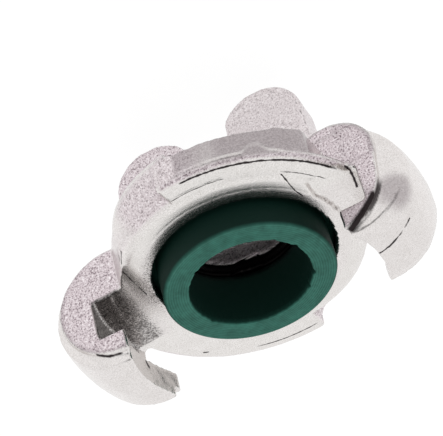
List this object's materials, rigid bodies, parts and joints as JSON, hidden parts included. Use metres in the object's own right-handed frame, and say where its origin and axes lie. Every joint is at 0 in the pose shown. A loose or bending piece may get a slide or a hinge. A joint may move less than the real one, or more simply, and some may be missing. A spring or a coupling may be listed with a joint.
{
  "type": "claw hose coupling cap",
  "caption": "Cast claw hose coupling end cap with hooked claws, a ramped locking rim, rear grip wings and a green rubber seal ring.",
  "frame": {"origin": "centre of the front face on the coupling axis, which is also the mating plane of the claws' slots", "axes": "+Z along the coupling axis towards the mating half, +X through the middle of one claw"},
  "size_m": [0.0636, 0.0492, 0.0424],
  "materials": {
    "body": "zinc plated casting",
    "seal": "satin"
  },
  "bodies": {
    "root": {"coupling_body": "body", "seal_ring": "seal"}
  },
  "joints": []
}
